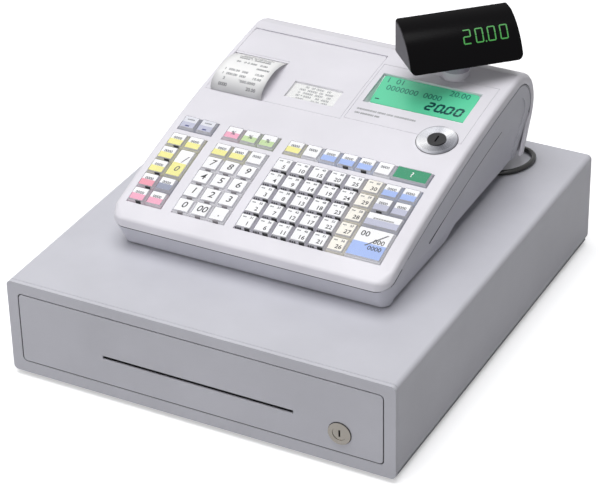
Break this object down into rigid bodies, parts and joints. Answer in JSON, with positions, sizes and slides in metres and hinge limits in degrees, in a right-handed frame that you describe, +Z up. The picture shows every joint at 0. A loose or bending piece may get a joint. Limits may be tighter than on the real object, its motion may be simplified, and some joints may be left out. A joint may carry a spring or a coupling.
{
  "type": "electronic cash register",
  "caption": "Electronic ticket register with sloping keyboard, receipt printer and turning customer display, on a steel cabinet with a sliding cash drawer.",
  "frame": {"origin": "bottom centre of the bounding box, on the plane of the cabinet's rubber feet", "axes": "+X to the clerk's right, +Y away from the clerk towards the back, +Z up"},
  "size_m": [0.41, 0.468, 0.2746],
  "materials": {
    "cabinet_paint": "satin",
    "zinc": "satin",
    "brass_balls": "polished",
    "steel": "polished",
    "chrome": "polished",
    "rubber": "matte",
    "black_plastic": "satin",
    "cable_black": "satin",
    "tray_plastic": "matte",
    "clip_plastic": "satin",
    "grey_plastic": "satin",
    "white_plastic": "satin",
    "clear_window": "clear",
    "display_green": "glossy",
    "dark_window": "glossy",
    "paper": "matte",
    "board_green": "satin",
    "core_steel": "satin",
    "key_white": "glossy",
    "key_blue": "glossy",
    "key_yellow": "glossy",
    "key_pink": "glossy",
    "key_blue_grey": "glossy"
  },
  "bodies": {
    "housing": {"cabinet_shell": "cabinet_paint", "cabinet_base": "zinc", "cabinet_front": "cabinet_paint", "latch_solenoid": "zinc", "eject_spring": "steel", "rubber_feet": "rubber", "cable_bushes": "black_plastic", "drawer_cable": "cable_black", "lower_case": "grey_plastic", "upper_case": "white_plastic", "key_plate": "grey_plastic", "display_panel": "white_plastic", "clerk_display": "display_green", "mode_ring": "chrome", "printer_frame": "zinc", "main_board": "board_green", "transformer": "core_steel", "screws": "zinc"},
    "drawer": {"drawer_front": "cabinet_paint", "drawer_box": "zinc", "cash_tray": "tray_plastic", "lock_barrel": "chrome"},
    "slide_cages": {"slide_cages": "brass_balls"},
    "lock_plug": {"lock_plug": "steel"},
    "note_clips": {"note_clips": "clip_plastic"},
    "latch_hook": {"latch_hook": "steel"},
    "solenoid_plunger": {"solenoid_plunger": "steel"},
    "printer_cover": {"printer_cover": "white_plastic", "journal_window": "clear_window", "receipt_paper": "paper"},
    "mode_plug": {"mode_plug": "black_plastic"},
    "platen_roller": {"platen_roller": "rubber"},
    "receipt_roll": {"receipt_roll": "paper"},
    "journal_roll": {"journal_roll": "paper"},
    "journal_reel": {"journal_reel": "black_plastic"},
    "display_post": {"display_post": "grey_plastic"},
    "display_head": {"display_head": "grey_plastic", "display_window": "dark_window"},
    "key_0": {"key_0": "key_white"},
    "key_00": {"key_00": "key_white"},
    "key_point": {"key_point": "key_white"},
    "key_1": {"key_1": "key_white"},
    "key_2": {"key_2": "key_white"},
    "key_3": {"key_3": "key_white"},
    "key_4": {"key_4": "key_white"},
    "key_5": {"key_5": "key_white"},
    "key_6": {"key_6": "key_white"},
    "key_7": {"key_7": "key_white"},
    "key_8": {"key_8": "key_white"},
    "key_9": {"key_9": "key_white"},
    "key_cash": {"key_cash": "key_blue"},
    "feed_keys": {"feed_keys": "key_blue_grey"},
    "left_keys": {"left_keys": "key_yellow"},
    "function_keys": {"function_keys": "key_pink"},
    "transaction_keys": {"transaction_keys": "key_blue"},
    "dept_row_1": {"dept_row_1": "key_white"},
    "dept_row_2": {"dept_row_2": "key_white"},
    "dept_row_3": {"dept_row_3": "key_white"},
    "dept_row_4": {"dept_row_4": "key_white"},
    "dept_row_5": {"dept_row_5": "key_white"}
  },
  "joints": [
    {"name": "drawer_slide", "type": "slide", "parent": "housing", "child": "drawer", "axis": [0, -1, 0], "range_m": [0, 0.3]},
    {"name": "cages_slide", "type": "slide", "parent": "housing", "child": "slide_cages", "axis": [0, -1, 0], "range_m": [0, 0.151]},
    {"name": "lock_turn", "type": "hinge", "parent": "drawer", "child": "lock_plug", "pos_m": [0.149, -0.2325, 0.0396], "axis": [0, -1, 0], "range_deg": [0, 90]},
    {"name": "clips_lift", "type": "hinge", "parent": "drawer", "child": "note_clips", "pos_m": [0, 0.0617, 0.0672], "axis": [-1, 0, 0], "range_deg": [0, 50], "stiffness_Nm_per_rad": 0.03, "springref_deg": -28.65},
    {"name": "hook_turn", "type": "hinge", "parent": "housing", "child": "latch_hook", "pos_m": [0.101, 0.2228, 0.071], "axis": [0, 0, 1], "range_deg": [-13, 0]},
    {"name": "plunger_slide", "type": "slide", "parent": "housing", "child": "solenoid_plunger", "axis": [1, 0, 0], "range_m": [-0.00204, 0]},
    {"name": "cover_hinge", "type": "hinge", "parent": "housing", "child": "printer_cover", "pos_m": [-0.0655, 0.15335, 0.21015], "axis": [-1, 0, 0], "range_deg": [0, 70]},
    {"name": "mode_turn", "type": "hinge", "parent": "housing", "child": "mode_plug", "pos_m": [0.115, 0.04638, 0.19444], "axis": [0, -0.2031, 0.9792], "range_deg": [-90, 90]},
    {"name": "platen_spin", "type": "hinge", "parent": "housing", "child": "platen_roller", "pos_m": [-0.068, 0.11181, 0.18209], "axis": [1, 0, 0], "continuous": true},
    {"name": "receipt_roll_spin", "type": "hinge", "parent": "housing", "child": "receipt_roll", "pos_m": [-0.11, 0.15, 0.1585], "axis": [1, 0, 0], "continuous": true},
    {"name": "journal_roll_spin", "type": "hinge", "parent": "housing", "child": "journal_roll", "pos_m": [-0.032, 0.15, 0.1585], "axis": [1, 0, 0], "continuous": true},
    {"name": "reel_spin", "type": "hinge", "parent": "housing", "child": "journal_reel", "pos_m": [-0.032, 0.0595, 0.146], "axis": [1, 0, 0], "continuous": true},
    {"name": "post_slide", "type": "slide", "parent": "housing", "child": "display_post", "axis": [0, 0, 1], "range_m": [-0.018, 0]},
    {"name": "head_turn", "type": "hinge", "parent": "display_post", "child": "display_head", "pos_m": [0.087, 0.1515, 0.2348], "axis": [0, 0, 1], "range_deg": [-90, 180]},
    {"name": "key_0_press", "type": "slide", "parent": "housing", "child": "key_0", "axis": [0, 0.313, -0.9497], "range_m": [0, 0.0025], "stiffness_N_per_m": 150, "springref_m": -0.0015},
    {"name": "key_00_press", "type": "slide", "parent": "housing", "child": "key_00", "axis": [0, 0.313, -0.9497], "range_m": [0, 0.0025], "stiffness_N_per_m": 150, "springref_m": -0.0015},
    {"name": "key_point_press", "type": "slide", "parent": "housing", "child": "key_point", "axis": [0, 0.313, -0.9497], "range_m": [0, 0.0025], "stiffness_N_per_m": 150, "springref_m": -0.0015},
    {"name": "key_1_press", "type": "slide", "parent": "housing", "child": "key_1", "axis": [0, 0.2998, -0.954], "range_m": [0, 0.0025], "stiffness_N_per_m": 150, "springref_m": -0.0015},
    {"name": "key_2_press", "type": "slide", "parent": "housing", "child": "key_2", "axis": [0, 0.2998, -0.954], "range_m": [0, 0.0025], "stiffness_N_per_m": 150, "springref_m": -0.0015},
    {"name": "key_3_press", "type": "slide", "parent": "housing", "child": "key_3", "axis": [0, 0.2998, -0.954], "range_m": [0, 0.0025], "stiffness_N_per_m": 150, "springref_m": -0.0015},
    {"name": "key_4_press", "type": "slide", "parent": "housing", "child": "key_4", "axis": [0, 0.2865, -0.9581], "range_m": [0, 0.0025], "stiffness_N_per_m": 150, "springref_m": -0.0015},
    {"name": "key_5_press", "type": "slide", "parent": "housing", "child": "key_5", "axis": [0, 0.2865, -0.9581], "range_m": [0, 0.0025], "stiffness_N_per_m": 150, "springref_m": -0.0015},
    {"name": "key_6_press", "type": "slide", "parent": "housing", "child": "key_6", "axis": [0, 0.2865, -0.9581], "range_m": [0, 0.0025], "stiffness_N_per_m": 150, "springref_m": -0.0015},
    {"name": "key_7_press", "type": "slide", "parent": "housing", "child": "key_7", "axis": [0, 0.2732, -0.962], "range_m": [0, 0.0025], "stiffness_N_per_m": 150, "springref_m": -0.0015},
    {"name": "key_8_press", "type": "slide", "parent": "housing", "child": "key_8", "axis": [0, 0.2732, -0.962], "range_m": [0, 0.0025], "stiffness_N_per_m": 150, "springref_m": -0.0015},
    {"name": "key_9_press", "type": "slide", "parent": "housing", "child": "key_9", "axis": [0, 0.2732, -0.962], "range_m": [0, 0.0025], "stiffness_N_per_m": 150, "springref_m": -0.0015},
    {"name": "key_cash_press", "type": "slide", "parent": "housing", "child": "key_cash", "axis": [0, 0.3064, -0.9519], "range_m": [0, 0.0025], "stiffness_N_per_m": 300, "springref_m": -0.0015},
    {"name": "feed_keys_press", "type": "slide", "parent": "housing", "child": "feed_keys", "axis": [0, 0.2419, -0.9703], "range_m": [0, 0.0025], "stiffness_N_per_m": 300, "springref_m": -0.0015},
    {"name": "left_keys_press", "type": "slide", "parent": "housing", "child": "left_keys", "axis": [0, 0.2865, -0.9581], "range_m": [0, 0.0025], "stiffness_N_per_m": 900, "springref_m": -0.0015},
    {"name": "function_keys_press", "type": "slide", "parent": "housing", "child": "function_keys", "axis": [0, 0.2509, -0.968], "range_m": [0, 0.0025], "stiffness_N_per_m": 600, "springref_m": -0.0015},
    {"name": "transaction_keys_press", "type": "slide", "parent": "housing", "child": "transaction_keys", "axis": [0, 0.2643, -0.9644], "range_m": [0, 0.0025], "stiffness_N_per_m": 900, "springref_m": -0.0015},
    {"name": "dept_row_1_press", "type": "slide", "parent": "housing", "child": "dept_row_1", "axis": [0, 0.313, -0.9497], "range_m": [0, 0.0025], "stiffness_N_per_m": 600, "springref_m": -0.0015},
    {"name": "dept_row_2_press", "type": "slide", "parent": "housing", "child": "dept_row_2", "axis": [0, 0.2998, -0.954], "range_m": [0, 0.0025], "stiffness_N_per_m": 600, "springref_m": -0.0015},
    {"name": "dept_row_3_press", "type": "slide", "parent": "housing", "child": "dept_row_3", "axis": [0, 0.2865, -0.9581], "range_m": [0, 0.0025], "stiffness_N_per_m": 600, "springref_m": -0.0015},
    {"name": "dept_row_4_press", "type": "slide", "parent": "housing", "child": "dept_row_4", "axis": [0, 0.2732, -0.962], "range_m": [0, 0.0025], "stiffness_N_per_m": 600, "springref_m": -0.0015},
    {"name": "dept_row_5_press", "type": "slide", "parent": "housing", "child": "dept_row_5", "axis": [0, 0.2597, -0.9657], "range_m": [0, 0.0025], "stiffness_N_per_m": 600, "springref_m": -0.0015}
  ],
  "couplings": [
    {"joint": "cages_slide", "follows": "drawer_slide", "ratio": 0.5},
    {"joint": "hook_turn", "follows": "plunger_slide", "rad_per_m": 111}
  ]
}
